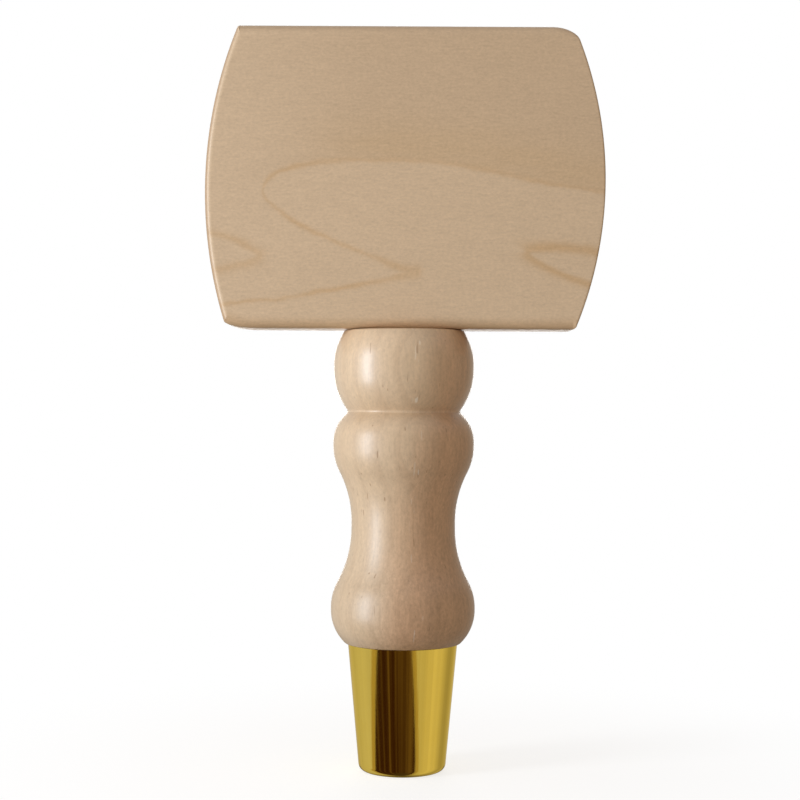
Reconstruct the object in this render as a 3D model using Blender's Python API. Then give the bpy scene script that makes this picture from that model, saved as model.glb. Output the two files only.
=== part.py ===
"""Draft beer tap handle: a maple label panel on a turned maple handle, screwed into a gold-plated ferrule.

Metres, with +Z up the handle and the panel's front towards -Y. The origin is the centre of the ferrule's
bottom rim.
"""

import math

import bmesh
import bpy
from mathutils import Vector

INCH = 0.0254

# Gaps between neighbouring pieces.
FACE_GAP = 0.0001
FIT_GAP = 0.00015

# Label panel. Each side is an arc bowed outwards, widest at its own height, as on a hand-sanded blank.
TOTAL_HEIGHT = 7.5 * INCH
PANEL_WIDTH = 4 * INCH
PANEL_THICKNESS = 0.75 * INCH
PANEL_BOTTOM = 0.1136
LEFT_ARC_RADIUS = 0.112
LEFT_WIDEST_HEIGHT = 0.1483
RIGHT_ARC_RADIUS = 0.099
RIGHT_WIDEST_HEIGHT = 0.1530

# Round-over of the plank's long edges, and of its sawn and sanded sides.
TOP_ROUND_OVER = 0.0026
BOTTOM_ROUND_OVER = 0.0024
LEFT_ROUND_OVER = 0.0016
RIGHT_ROUND_OVER = 0.0005
ROUND_OVER_STEPS = 4

# How far each corner's round runs along the edge, and up or down the side.
TOP_LEFT_CORNER = (0.0006, 0.0007)
TOP_RIGHT_CORNER = (0.0040, 0.0030)
BOTTOM_RIGHT_CORNER = (0.0007, 0.0007)
BOTTOM_LEFT_CORNER = (0.0075, 0.0017)

# Turned handle, from its top bead down to the bulb above the ferrule: (radius, height) of each turning point.
HANDLE_TOP_RADIUS = 0.0149
HANDLE_TOP_ROUND = 0.0004
UPPER_BEAD = (0.01807, 0.1045)
UPPER_BEAD_ARC = 0.0158
GROOVE = (0.01440, 0.0926)
LOWER_BEAD = (0.01815, 0.0839)
BEAD_INFLECTION_HEIGHT = 0.0769
WAIST_TOP = (0.01335, 0.0640)
WAIST_BOTTOM = (0.01335, 0.0626)
BULB_INFLECTION_HEIGHT = 0.0486
BULB = (0.01856, 0.0420)
BULB_LAND = 0.0006
BULB_ARC = 0.0116
BEAD_POWER = 2.45

# Ferrule: a tapered shell round a central boss, which holds the threaded insert.
FERRULE_HEIGHT = 0.03275
FERRULE_BASE_RADIUS = 0.0111
FERRULE_TOP_RADIUS = 0.0141
FERRULE_BASE_ROUND = 0.0013
FERRULE_RIM_ROUND = 0.0003
FERRULE_WALL = 0.0020
BOSS_WALL = 0.0017
CAVITY_FLOOR = 0.0060
MOUTH_CHAMFER = 0.0003

# Threaded insert: a brass bush with grooves round it.
INSERT_RADIUS = 0.0064
INSERT_BOTTOM = 0.0012
INSERT_TOP = 0.0270
INSERT_CHAMFER = 0.0005
INSERT_GROOVE_DEPTH = 0.0004
INSERT_GROOVES = 2

# Fibre washer, let into the top of the ferrule.
WASHER_RADIUS = 0.0122
WASHER_BORE = 0.0052
WASHER_THICKNESS = 0.0010

# Hanger bolt: a 3/8-16 machine thread below, a plain shank, and a wood thread with a tapered tip above.
BOLT_BOTTOM = 0.0160
BOLT_LENGTH = 2 * INCH
MACHINE_PITCH = INCH / 16
MACHINE_CREST = 0.00470
MACHINE_ROOT = 0.00380
MACHINE_LAND = 0.2
MACHINE_TOP = 0.0365
WOOD_PITCH = INCH / 7
WOOD_CREST = 0.00455
WOOD_ROOT = 0.00320
WOOD_LAND = 0.12
WOOD_BOTTOM = 0.0395
SHANK_RADIUS = 0.00450
CORE_INSET = 0.0003
BOLT_CHAMFER = 0.0009
TIP_LENGTH = 0.0070
TIP_RADIUS = 0.0010
BOLT_HOLE_SPARE = 0.0010

# Fluted dowel between the panel and the handle.
DOWEL_RADIUS = 0.1875 * INCH
DOWEL_LENGTH = 1.5 * INCH
DOWEL_FLUTES = 12
DOWEL_FLUTE_DEPTH = 0.0004
DOWEL_CHAMFER = 0.0010
DOWEL_HOLE_SPARE = 0.0008

# Fineness of the round shapes.
TURNED_STEPS = 36
THREAD_STEPS = 16
SIDE_STEPS = 20
CORNER_STEPS = 5
SHARP_ANGLE = math.radians(35)

PANEL_TOP = TOTAL_HEIGHT
HANDLE_TOP = PANEL_BOTTOM - FACE_GAP
HANDLE_BOTTOM = FERRULE_HEIGHT + FACE_GAP
BOLT_TOP = BOLT_BOTTOM + BOLT_LENGTH
WASHER_SEAT = FERRULE_HEIGHT - WASHER_THICKNESS - FACE_GAP
DOWEL_BOTTOM = PANEL_BOTTOM - DOWEL_LENGTH / 2
DOWEL_TOP = PANEL_BOTTOM + DOWEL_LENGTH / 2


def clear_scene():
    """Removes every object of the starting scene."""
    for obj in list(bpy.data.objects):
        bpy.data.objects.remove(obj, do_unlink=True)


def material(name, colour, roughness, metallic=0.0):
    """A Principled BSDF material of one colour."""
    made = bpy.data.materials.new(name)
    made.use_nodes = True
    shader = made.node_tree.nodes["Principled BSDF"]
    shader.inputs["Base Color"].default_value = (*colour, 1.0)
    shader.inputs["Roughness"].default_value = roughness
    shader.inputs["Metallic"].default_value = metallic
    return made


def link(name, bm, finish=None):
    """Puts a bmesh into the scene as an object, smooth apart from its sharp edges."""
    bmesh.ops.recalc_face_normals(bm, faces=bm.faces)
    mesh = bpy.data.meshes.new(name)
    bm.to_mesh(mesh)
    bm.free()
    mesh.shade_smooth()
    mesh.set_sharp_from_angle(angle=SHARP_ANGLE)
    obj = bpy.data.objects.new(name, mesh)
    bpy.context.scene.collection.objects.link(obj)
    if finish:
        mesh.materials.append(finish)
    return obj


def helper(obj):
    """Marks an object as a tool for another one's Boolean, not a piece of the tap handle."""
    obj.hide_render = True
    obj.display_type = "WIRE"
    return obj


def combine(obj, tool, operation):
    """Adds a Boolean modifier to obj."""
    boolean = obj.modifiers.new(tool.name, "BOOLEAN")
    boolean.object = tool
    boolean.operation = operation
    boolean.solver = "EXACT"


def arc(centre, radius, start, end, steps):
    """Points of an arc round centre, from one angle to another."""
    angles = [start + (end - start) * i / steps for i in range(steps + 1)]
    return [(centre[0] + radius * math.cos(a), centre[1] + radius * math.sin(a)) for a in angles]


def crown(equator, edge, steps):
    """One half of a bead, from its equator to its edge: flat at the equator and steeper towards the edge."""
    shares = [i / steps for i in range(steps + 1)]
    return [
        (
            equator[0] + (edge[0] - equator[0]) * share**BEAD_POWER,
            equator[1] + (edge[1] - equator[1]) * share,
        )
        for share in shares
    ]


def ogee(bulge, waist, inflection_height, bulge_steps, waist_steps):
    """Two arcs from a bulge's equator to a waist, upright at both ends and tangent at inflection_height."""
    turn = 2 * math.atan2(bulge[0] - waist[0], abs(bulge[1] - waist[1]))
    direction = math.copysign(1, waist[1] - bulge[1])
    bulge_radius = abs(inflection_height - bulge[1]) / math.sin(turn)
    waist_radius = abs(inflection_height - waist[1]) / math.sin(turn)
    bulge_centre = (bulge[0] - bulge_radius, bulge[1])
    waist_centre = (waist[0] + waist_radius, waist[1])
    outer = arc(bulge_centre, bulge_radius, 0, direction * turn, bulge_steps)
    inner = arc(waist_centre, waist_radius, math.pi + direction * turn, math.pi, waist_steps)
    return outer + inner[1:]


def turned(name, profile, closed=False, finish=None):
    """A solid turned round Z from a profile of (radius, height) points.

    An open profile starts and ends on the axis. A closed one is the section of a ring.
    """
    bm = bmesh.new()
    points = [bm.verts.new((radius, 0, height)) for radius, height in profile]
    edges = [bm.edges.new(pair) for pair in zip(points, points[1:])]
    if closed:
        edges.append(bm.edges.new((points[-1], points[0])))
    bmesh.ops.spin(
        bm,
        geom=points + edges,
        cent=(0, 0, 0),
        axis=(0, 0, 1),
        angle=2 * math.pi,
        steps=TURNED_STEPS,
        use_merge=True,
    )
    bmesh.ops.remove_doubles(bm, verts=bm.verts, dist=1e-6)
    return link(name, bm, finish)


def cylinder(name, radius, bottom, top):
    """A plain cylinder round Z, used as a drill."""
    return helper(turned(name, [(0, top), (radius, top), (radius, bottom), (0, bottom)]))


def threaded_rod(name, root, crest, pitch, land, bottom, top):
    """A rod with a right-hand thread that reaches past bottom and top, and a cone-shaped cap at each end.

    The thread's root is at height 0 on the +X side, so rods of one pitch are in phase whatever their ends.
    """
    first = (math.floor(bottom / pitch) - 1) * pitch
    steps = THREAD_STEPS * (math.ceil((top - first) / pitch) + 1)
    bm = bmesh.new()

    def helix(radius, offset, count):
        """Vertices along one helix of the thread's section."""
        verts = []
        for i in range(count + 1):
            angle = 2 * math.pi * i / THREAD_STEPS
            height = first + pitch * (offset + i / THREAD_STEPS)
            verts.append(bm.verts.new((radius * math.cos(angle), radius * math.sin(angle), height)))
        return verts

    roots = helix(root, 0, steps + THREAD_STEPS)
    lower_crests = helix(crest, (1 - land) / 2, steps)
    upper_crests = helix(crest, (1 + land) / 2, steps)
    strips = [(roots, lower_crests), (lower_crests, upper_crests), (upper_crests, roots[THREAD_STEPS:])]
    for below, above in strips:
        for i in range(steps):
            bm.faces.new((below[i], below[i + 1], above[i + 1], above[i]))
    for start in (0, steps):
        turn = roots[start : start + THREAD_STEPS + 1]
        loop = turn + [upper_crests[start], lower_crests[start]]
        tip = bm.verts.new((0, 0, turn[THREAD_STEPS // 2].co.z))
        for i, vert in enumerate(loop):
            bm.faces.new((tip, vert, loop[(i + 1) % len(loop)]))
    return helper(link(name, bm))


def side_outline(arc_radius, widest_height, top_corner, bottom_corner):
    """One side of the panel as (x, z) from the top edge to the bottom edge, drawn as a right-hand side."""

    def side_point(height):
        """The point of the side's arc at a height."""
        run = math.sqrt(arc_radius**2 - (height - widest_height) ** 2)
        return PANEL_WIDTH / 2 - arc_radius + run, height

    def corner(edge_height, inward, size):
        """A quarter of an ellipse, sheared to meet both the edge and the side's arc, starting at the edge."""
        square = side_point(edge_height)
        side = side_point(edge_height + inward * size[1])
        edge = (square[0] - size[0], edge_height)
        points = []
        for i in range(CORNER_STEPS + 1):
            turn = math.pi / 2 * i / CORNER_STEPS
            to_edge = 1 - math.sin(turn)
            to_side = 1 - math.cos(turn)
            points.append(
                tuple(s + (e - s) * to_edge + (d - s) * to_side for s, e, d in zip(square, edge, side))
            )
        return points

    top = PANEL_TOP - top_corner[1]
    bottom = PANEL_BOTTOM + bottom_corner[1]
    heights = [top + (bottom - top) * i / SIDE_STEPS for i in range(1, SIDE_STEPS)]
    side = [side_point(height) for height in heights]
    return corner(PANEL_TOP, -1, top_corner) + side + corner(PANEL_BOTTOM, 1, bottom_corner)[::-1]


def panel_outline():
    """The panel's outline as Vectors (x, z), clockwise from the right-hand end of its top edge."""
    right = side_outline(RIGHT_ARC_RADIUS, RIGHT_WIDEST_HEIGHT, TOP_RIGHT_CORNER, BOTTOM_RIGHT_CORNER)
    left = side_outline(LEFT_ARC_RADIUS, LEFT_WIDEST_HEIGHT, TOP_LEFT_CORNER, BOTTOM_LEFT_CORNER)
    return [Vector(point) for point in right + [(-x, z) for x, z in reversed(left)]]


def round_overs(outline):
    """Round-over radius of each of the outline's segments, from the way the segment faces."""
    radii = []
    for start, end in zip(outline, outline[1:] + outline[:1]):
        along = (end - start).normalized()
        side = RIGHT_ROUND_OVER if along.y < 0 else LEFT_ROUND_OVER
        edge = TOP_ROUND_OVER if along.x > 0 else BOTTOM_ROUND_OVER
        radii.append(side + (edge - side) * along.x**4)
    return radii


def shrink_outline(outline, depths):
    """Moves each segment of a convex clockwise outline inwards by its depth, and each point along with it.

    The points of a corner that is tighter than its depth meet in one.
    """
    shrunk = list(outline)
    for start, end, depth in zip(outline, outline[1:] + outline[:1], depths):
        along = (end - start).normalized()
        inward = Vector((along.y, -along.x))
        inside = [(point - start).dot(inward) - depth for point in shrunk]
        kept = []
        for i, point in enumerate(shrunk):
            after = (i + 1) % len(shrunk)
            if inside[i] >= 0:
                kept.append(point)
            if (inside[i] >= 0) != (inside[after] >= 0):
                kept.append(point.lerp(shrunk[after], inside[i] / (inside[i] - inside[after])))
        shrunk = kept
    return [nearest_point(shrunk, point) for point in outline]


def nearest_point(outline, point):
    """The point of a closed outline that is nearest to another point."""
    found = []
    for start, end in zip(outline, outline[1:] + outline[:1]):
        run = end - start
        share = (point - start).dot(run) / max(run.length_squared, 1e-18)
        found.append(start + run * min(max(share, 0), 1))
    return min(found, key=lambda candidate: (candidate - point).length_squared)


def make_face_panel(finish):
    """Plank with bowed sides, rounded over at the front and back, and drilled from below for the dowel."""
    outline = panel_outline()
    radii = round_overs(outline)
    point_radii = [(before + after) / 2 for before, after in zip(radii[-1:] + radii, radii)]
    rings = []
    for i in range(ROUND_OVER_STEPS + 1):
        turn = math.pi / 2 * i / ROUND_OVER_STEPS
        ring = shrink_outline(outline, [radius * (1 - math.sin(turn)) for radius in radii])
        back = [PANEL_THICKNESS / 2 - radius * (1 - math.cos(turn)) for radius in point_radii]
        rings.append([(point.x, y, point.y) for point, y in zip(ring, back)])
    bm = bmesh.new()
    levels = [[(x, -y, z) for x, y, z in ring] for ring in rings] + rings[::-1]
    loops = [[bm.verts.new(place) for place in ring] for ring in levels]
    for near, far in zip(loops, loops[1:]):
        for i in range(len(outline)):
            after = (i + 1) % len(outline)
            bm.faces.new((near[i], near[after], far[after], far[i]))
    bm.faces.new(loops[0])
    bm.faces.new(loops[-1])
    bmesh.ops.remove_doubles(bm, verts=bm.verts, dist=1e-6)
    panel = link("face_panel", bm, finish)
    drill = cylinder("panel_drill", DOWEL_RADIUS + FIT_GAP, PANEL_BOTTOM - 0.01, DOWEL_TOP + DOWEL_HOLE_SPARE)
    combine(panel, drill, "DIFFERENCE")


def handle_profile():
    """The turned handle's profile, from the axis at its top to the axis at its bottom."""
    upper_centre = (UPPER_BEAD[0] - UPPER_BEAD_ARC, UPPER_BEAD[1])
    shoulder = math.asin((HANDLE_TOP - HANDLE_TOP_ROUND - UPPER_BEAD[1]) / UPPER_BEAD_ARC)
    bulb_bottom = (BULB[0], BULB[1] - BULB_LAND)
    bulb_centre = (BULB[0] - BULB_ARC, bulb_bottom[1])
    bulb_turn = math.asin((HANDLE_BOTTOM - bulb_bottom[1]) / BULB_ARC)
    points = [(0, HANDLE_TOP), (HANDLE_TOP_RADIUS - HANDLE_TOP_ROUND, HANDLE_TOP)]
    points += arc(upper_centre, UPPER_BEAD_ARC, shoulder, 0, 5)
    points += crown(UPPER_BEAD, GROOVE, 7)[1:]
    points += crown(LOWER_BEAD, GROOVE, 6)[-2::-1]
    points += ogee(LOWER_BEAD, WAIST_TOP, BEAD_INFLECTION_HEIGHT, 4, 5)[1:]
    points += ogee(BULB, WAIST_BOTTOM, BULB_INFLECTION_HEIGHT, 4, 5)[::-1]
    points += arc(bulb_centre, BULB_ARC, 0, bulb_turn, 6)
    points += [(0, HANDLE_BOTTOM)]
    return points


def make_turned_handle(finish):
    """Turned handle, drilled from above for the dowel, and from below and threaded for the hanger bolt."""
    handle = turned("turned_handle", handle_profile(), finish=finish)
    dowel_drill = cylinder(
        "handle_drill", DOWEL_RADIUS + FIT_GAP, DOWEL_BOTTOM - DOWEL_HOLE_SPARE, PANEL_BOTTOM + 0.01
    )
    bolt_drill = cylinder(
        "bolt_drill", MACHINE_CREST + FIT_GAP, HANDLE_BOTTOM - 0.01, WOOD_BOTTOM + CORE_INSET
    )
    thread = threaded_rod(
        "handle_tap",
        WOOD_ROOT + FIT_GAP,
        WOOD_CREST + FIT_GAP,
        WOOD_PITCH,
        WOOD_LAND,
        WOOD_BOTTOM,
        BOLT_TOP + BOLT_HOLE_SPARE - WOOD_PITCH,
    )
    combine(handle, dowel_drill, "DIFFERENCE")
    combine(handle, bolt_drill, "DIFFERENCE")
    combine(handle, thread, "DIFFERENCE")


def make_panel_dowel(finish):
    """Fluted dowel with chamfered ends, half in the panel and half in the handle."""
    bm = bmesh.new()
    rings = [
        (DOWEL_BOTTOM, DOWEL_CHAMFER),
        (DOWEL_BOTTOM + DOWEL_CHAMFER, 0),
        (DOWEL_TOP - DOWEL_CHAMFER, 0),
        (DOWEL_TOP, DOWEL_CHAMFER),
    ]
    count = 3 * DOWEL_FLUTES
    loops = []
    for height, inset in rings:
        verts = []
        for i in range(count):
            flute = DOWEL_FLUTE_DEPTH if i % 3 == 0 else 0
            radius = DOWEL_RADIUS - max(flute, inset)
            angle = 2 * math.pi * i / count
            verts.append(bm.verts.new((radius * math.cos(angle), radius * math.sin(angle), height)))
        loops.append([bm.edges.new((verts[i], verts[(i + 1) % count])) for i in range(count)])
    for lower, upper in zip(loops, loops[1:]):
        bmesh.ops.bridge_loops(bm, edges=lower + upper)
    bmesh.ops.contextual_create(bm, geom=loops[0])
    bmesh.ops.contextual_create(bm, geom=loops[-1])
    link("panel_dowel", bm, finish)


def make_hanger_bolt(finish):
    """Hanger bolt: a plain core joined to its two threads, each trimmed to length by a chamfered envelope."""
    machine_core = MACHINE_ROOT - CORE_INSET
    wood_core = WOOD_ROOT - CORE_INSET
    bolt = turned(
        "hanger_bolt",
        [
            (0, BOLT_TOP - TIP_LENGTH),
            (wood_core, BOLT_TOP - TIP_LENGTH - CORE_INSET),
            (wood_core, WOOD_BOTTOM + CORE_INSET),
            (SHANK_RADIUS, WOOD_BOTTOM - CORE_INSET),
            (SHANK_RADIUS, MACHINE_TOP - CORE_INSET),
            (machine_core, MACHINE_TOP - 2 * CORE_INSET),
            (machine_core, BOLT_BOTTOM + CORE_INSET),
            (0, BOLT_BOTTOM + CORE_INSET),
        ],
        finish=finish,
    )
    outside = MACHINE_CREST + CORE_INSET
    machine_envelope = turned(
        "machine_envelope",
        [
            (0, MACHINE_TOP),
            (outside, MACHINE_TOP),
            (outside, BOLT_BOTTOM + BOLT_CHAMFER),
            (MACHINE_CREST - BOLT_CHAMFER, BOLT_BOTTOM),
            (0, BOLT_BOTTOM),
        ],
    )
    wood_envelope = turned(
        "wood_envelope",
        [
            (0, BOLT_TOP),
            (TIP_RADIUS, BOLT_TOP),
            (outside, BOLT_TOP - TIP_LENGTH),
            (outside, WOOD_BOTTOM - CORE_INSET / 2),
            (0, WOOD_BOTTOM - CORE_INSET / 2),
        ],
    )
    machine_thread = threaded_rod(
        "machine_thread", MACHINE_ROOT, MACHINE_CREST, MACHINE_PITCH, MACHINE_LAND, BOLT_BOTTOM, MACHINE_TOP
    )
    wood_thread = threaded_rod(
        "wood_thread", WOOD_ROOT, WOOD_CREST, WOOD_PITCH, WOOD_LAND, WOOD_BOTTOM, BOLT_TOP
    )
    combine(machine_thread, helper(machine_envelope), "INTERSECT")
    combine(wood_thread, helper(wood_envelope), "INTERSECT")
    combine(bolt, machine_thread, "UNION")
    combine(bolt, wood_thread, "UNION")


def make_seat_washer(finish):
    """Flat fibre washer on the ferrule's boss and ledge, flush with its rim."""
    bottom = WASHER_SEAT + FACE_GAP
    top = bottom + WASHER_THICKNESS
    section = [(WASHER_RADIUS, top), (WASHER_RADIUS, bottom), (WASHER_BORE, bottom), (WASHER_BORE, top)]
    turned("seat_washer", section, closed=True, finish=finish)


def make_ferrule_shell(finish):
    """Tapered shell round a boss. The space between them is open at the top, under the washer."""
    taper = (FERRULE_TOP_RADIUS - FERRULE_BASE_RADIUS) / FERRULE_HEIGHT
    lean = math.atan(taper)
    recess = WASHER_RADIUS + FIT_GAP
    bore = INSERT_RADIUS + FIT_GAP
    boss = bore + BOSS_WALL
    rim_centre = (FERRULE_TOP_RADIUS - FERRULE_RIM_ROUND, FERRULE_HEIGHT - FERRULE_RIM_ROUND)
    base_centre = (FERRULE_BASE_RADIUS - FERRULE_BASE_ROUND * (1 - taper), FERRULE_BASE_ROUND)
    section = arc(rim_centre, FERRULE_RIM_ROUND, math.pi / 2, -lean, 2)
    section += arc(base_centre, FERRULE_BASE_ROUND, -lean, -math.pi / 2, 4)
    section += [
        (bore + MOUTH_CHAMFER, 0),
        (bore, MOUTH_CHAMFER),
        (bore, WASHER_SEAT),
        (boss, WASHER_SEAT),
        (boss, CAVITY_FLOOR),
        (FERRULE_BASE_RADIUS + taper * CAVITY_FLOOR - FERRULE_WALL, CAVITY_FLOOR),
        (FERRULE_BASE_RADIUS + taper * WASHER_SEAT - FERRULE_WALL, WASHER_SEAT),
        (recess, WASHER_SEAT),
        (recess, FERRULE_HEIGHT),
    ]
    turned("ferrule_shell", section, closed=True, finish=finish)


def make_threaded_insert(finish):
    """Brass bush, grooved outside so that it can't pull out, with the machine thread cut right through it."""
    section = [
        (0, INSERT_TOP),
        (INSERT_RADIUS - INSERT_CHAMFER, INSERT_TOP),
        (INSERT_RADIUS, INSERT_TOP - INSERT_CHAMFER),
    ]
    spacing = (INSERT_TOP - INSERT_BOTTOM) / (INSERT_GROOVES + 1)
    for i in range(INSERT_GROOVES):
        middle = INSERT_TOP - spacing * (i + 1)
        for radius, offset in (
            (INSERT_RADIUS, 2 * INSERT_GROOVE_DEPTH),
            (INSERT_RADIUS - INSERT_GROOVE_DEPTH, INSERT_GROOVE_DEPTH),
            (INSERT_RADIUS - INSERT_GROOVE_DEPTH, -INSERT_GROOVE_DEPTH),
            (INSERT_RADIUS, -2 * INSERT_GROOVE_DEPTH),
        ):
            section.append((radius, middle + offset))
    section += [
        (INSERT_RADIUS, INSERT_BOTTOM + INSERT_CHAMFER),
        (INSERT_RADIUS - INSERT_CHAMFER, INSERT_BOTTOM),
        (0, INSERT_BOTTOM),
    ]
    insert = turned("threaded_insert", section, finish=finish)
    tap = threaded_rod(
        "insert_tap",
        MACHINE_ROOT + FIT_GAP,
        MACHINE_CREST + FIT_GAP,
        MACHINE_PITCH,
        MACHINE_LAND,
        INSERT_BOTTOM,
        INSERT_TOP,
    )
    combine(insert, tap, "DIFFERENCE")


def main():
    clear_scene()
    make_face_panel(material("panel_maple", (0.52, 0.37, 0.24), 0.42))
    make_turned_handle(material("handle_maple", (0.50, 0.34, 0.20), 0.30))
    make_panel_dowel(material("dowel_beech", (0.55, 0.38, 0.24), 0.60))
    make_hanger_bolt(material("zinc_steel", (0.60, 0.61, 0.63), 0.35, 1.0))
    make_seat_washer(material("fibre", (0.28, 0.08, 0.05), 0.80))
    make_ferrule_shell(material("gold_plate", (0.85, 0.62, 0.18), 0.08, 1.0))
    make_threaded_insert(material("brass", (0.75, 0.58, 0.30), 0.30, 1.0))


main()
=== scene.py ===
import math

import bmesh
import bpy
from mathutils import Matrix, Vector


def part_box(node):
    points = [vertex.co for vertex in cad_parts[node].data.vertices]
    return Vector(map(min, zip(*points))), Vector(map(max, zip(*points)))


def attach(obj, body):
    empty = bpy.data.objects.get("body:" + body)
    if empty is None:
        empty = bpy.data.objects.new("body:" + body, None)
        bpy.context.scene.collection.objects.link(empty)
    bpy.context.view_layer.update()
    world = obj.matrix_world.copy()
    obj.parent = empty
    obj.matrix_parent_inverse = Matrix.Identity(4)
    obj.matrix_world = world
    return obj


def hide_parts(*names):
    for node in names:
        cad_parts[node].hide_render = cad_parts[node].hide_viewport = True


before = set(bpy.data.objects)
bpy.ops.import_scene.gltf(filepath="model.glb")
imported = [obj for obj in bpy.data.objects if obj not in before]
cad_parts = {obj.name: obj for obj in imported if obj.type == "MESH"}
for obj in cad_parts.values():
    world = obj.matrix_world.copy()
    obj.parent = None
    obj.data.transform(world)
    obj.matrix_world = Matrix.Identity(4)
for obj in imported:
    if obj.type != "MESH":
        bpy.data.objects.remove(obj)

MM = 0.001
SHARP_ANGLE = math.radians(32)
TURNED_MERGE = 1e-7
PANEL_MERGE = 2e-6

# The CAD frame at rest. Heights and outer sizes of the fine pieces come from these boxes.
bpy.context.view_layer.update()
PANEL_LOW, PANEL_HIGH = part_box("face_panel")
HANDLE_LOW, HANDLE_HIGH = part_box("turned_handle")
FERRULE_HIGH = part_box("ferrule_shell")[1]
INSERT_LOW, INSERT_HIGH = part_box("threaded_insert")
WASHER_LOW, WASHER_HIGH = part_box("seat_washer")
BOLT_LOW, BOLT_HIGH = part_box("hanger_bolt")
DOWEL_LOW, DOWEL_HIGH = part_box("panel_dowel")

# Label panel.
TOP_ROUND_OVER = 2.6 * MM
BOTTOM_ROUND_OVER = 2.4 * MM
LEFT_ROUND_OVER = 1.6 * MM
RIGHT_ROUND_OVER = 0.5 * MM
PANEL_FLAT_MARGIN = 0.3 * MM
# Each side's arc, the height where it is widest, and its corners as (across, up) in millimetres.
LEFT_SIDE = {"radius": 112 * MM, "widest": 148.3 * MM, "top": (0.6, 0.7), "bottom": (7.5, 1.7)}
RIGHT_SIDE = {"radius": 99 * MM, "widest": 151.3 * MM, "top": (5.2, 3.5), "bottom": (0.7, 0.7)}
CORNER_STEPS = 14
SIDE_STEPS = 90
ROUND_OVER_STEPS = 8

# Turned handle, as (radius, height) in millimetres.
HANDLE_TOP_RADIUS = 14.5
UPPER_BEAD = (18.07, 104.5)
UPPER_BEAD_ARC = 15.8
GROOVE = (14.40, 92.6)
LOWER_BEAD = (18.15, 83.9)
BEAD_INFLECTION = 76.9
WAIST_TOP = (13.35, 64.0)
WAIST_BOTTOM = (13.35, 62.6)
BULB_INFLECTION = 48.6
BULB = (18.56, 42.0)
BULB_LAND = 0.6
BULB_ARC = 11.6
BEAD_POWER = 2.45
EDGE_SOFTNESS = 0.35
# The top edge is eased by this much (inwards, down), and the foot inwards to (its corner, its flat).
TOP_EDGE = (0.15, 0.4)
BOTTOM_EDGE = (0.25, 0.9)

# Ferrule, insert, washer, bolt and dowel, in millimetres.
FERRULE_BASE_RADIUS = 11.1
FERRULE_BASE_ROUND = 2.0
FERRULE_WALL = 2.0
BOSS_WALL = 1.7
CAVITY_FLOOR = 6.0
CAVITY_FILLET = (0.4, 0.6)
BORE_CHAMFER = 0.3
SEAT_GAP = 0.1
FIT_GAP = 0.15
DOWEL_SIDE_GAP = 0.2
DOWEL_END_GAP = 0.8
CUT_PAST = 5
MACHINE_THREAD = {"pitch": 25.4 / 16, "root": 3.80, "crest": 4.70, "land": 0.20}
WOOD_THREAD = {"pitch": 25.4 / 7, "root": 3.20, "crest": 4.55, "land": 0.12}
MACHINE_TOP = 36.5
WOOD_BOTTOM = 39.5
SHANK_RADIUS = 4.5
CORE_INSET = 0.3
BOLT_CHAMFER = 0.9
TIP_LENGTH = 7.0
TIP_RADIUS = 1.0

# Steps round a full turn.
TURNED_STEPS = 200
METAL_STEPS = 112
WASHER_STEPS = 128
DRILL_STEPS = 96
FLOOR_STEPS = 96
THREAD_STEPS = 56


# Mesh work.

def finish_mesh(name, bm):
    """Puts a bmesh into the scene as an object, smooth apart from its sharp edges."""
    bmesh.ops.recalc_face_normals(bm, faces=bm.faces)
    mesh = bpy.data.meshes.new(name)
    bm.to_mesh(mesh)
    bm.free()
    mesh.shade_smooth()
    mesh.set_sharp_from_angle(angle=SHARP_ANGLE)
    obj = bpy.data.objects.new(name, mesh)
    bpy.context.scene.collection.objects.link(obj)
    return obj


def carve(obj, tool, operation="DIFFERENCE", solver="EXACT"):
    """Applies a Boolean to obj and removes the tool. MANIFOLD is for where EXACT fails."""
    boolean = obj.modifiers.new("carve", "BOOLEAN")
    boolean.object = tool
    boolean.operation = operation
    boolean.solver = solver
    graph = bpy.context.evaluated_depsgraph_get()
    mesh = bpy.data.meshes.new_from_object(obj.evaluated_get(graph))
    obj.modifiers.clear()
    obj.data = mesh
    mesh.set_sharp_from_angle(angle=SHARP_ANGLE)
    bpy.data.objects.remove(tool)
    return obj


def arc(centre, radius, start, end, steps):
    """Points of an arc round centre, from one angle to another."""
    angles = [start + (end - start) * i / steps for i in range(steps + 1)]
    return [(centre[0] + radius * math.cos(a), centre[1] + radius * math.sin(a)) for a in angles]


def softened(before, corner, after, steps=5):
    """A corner eased into a curve from before to after."""
    controls = (before, corner, after)
    points = []
    for i in range(steps + 1):
        t = i / steps
        weights = ((1 - t) ** 2, 2 * t * (1 - t), t**2)
        points.append(tuple(sum(w * p[k] for w, p in zip(weights, controls)) for k in (0, 1)))
    return points


def spun(profile, steps, closed=False):
    """A bmesh turned round Z from (radius, height) points in metres; a closed profile makes a ring."""
    bm = bmesh.new()
    points = [bm.verts.new((radius, 0, height)) for radius, height in profile]
    edges = [bm.edges.new(pair) for pair in zip(points, points[1:])]
    if closed:
        edges.append(bm.edges.new((points[-1], points[0])))
    bmesh.ops.spin(
        bm,
        geom=points + edges,
        cent=(0, 0, 0),
        axis=(0, 0, 1),
        angle=2 * math.pi,
        steps=steps,
        use_merge=True,
    )
    bmesh.ops.remove_doubles(bm, verts=bm.verts, dist=TURNED_MERGE)
    return bm


def turned(name, profile, closed=False, steps=TURNED_STEPS):
    """A solid turned round Z from (radius, height) points in millimetres."""
    return finish_mesh(name, spun([(radius * MM, height * MM) for radius, height in profile], steps, closed))


def drill(radius, bottom, top):
    """A cylinder to cut with."""
    return turned("drill", [(0, top), (radius, top), (radius, bottom), (0, bottom)], steps=DRILL_STEPS)


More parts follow.
